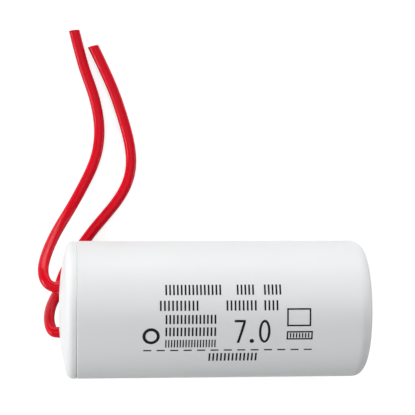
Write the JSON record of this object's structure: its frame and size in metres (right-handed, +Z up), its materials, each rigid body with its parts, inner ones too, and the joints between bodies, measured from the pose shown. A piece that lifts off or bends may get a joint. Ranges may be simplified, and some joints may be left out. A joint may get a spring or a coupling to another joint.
{
  "type": "motor run capacitor",
  "caption": "Round film capacitor in a white moulded plastic can with a crowned end cap and insulated red lead wires.",
  "frame": {"origin": "under the middle of the can and cap, on the surface that the capacitor lies on", "axes": "+X along the can from the lead end to the closed end, +Y to the side where the leads lie, +Z up"},
  "size_m": [0.0668, 0.0728, 0.028],
  "materials": {
    "can_plastic": "semi-gloss moulded",
    "lead_insulation": "satin extruded PVC",
    "copper": "stranded copper",
    "solder": "dull solder",
    "sprayed_zinc": "rough metal spray",
    "metallised_film": "wound metallised film",
    "wrap_film": "clear film wrap",
    "core_plastic": "moulded",
    "card": "pressed card",
    "resin": "cast",
    "print_ink": "dry printed ink"
  },
  "bodies": {
    "root": {"case": "can_plastic", "end_cap": "can_plastic", "potting_resin": "resin", "winding_core": "core_plastic", "film_winding": "metallised_film", "winding_wrap": "wrap_film", "near_end_spray": "sprayed_zinc", "far_end_spray": "sprayed_zinc", "near_insulating_disc": "card", "far_spacer": "core_plastic", "lead_a": "lead_insulation", "lead_b": "lead_insulation", "lead_a_conductor": "copper", "lead_b_conductor": "copper", "near_solder_joint": "solder", "far_solder_joint": "solder"}
  },
  "joints": []
}
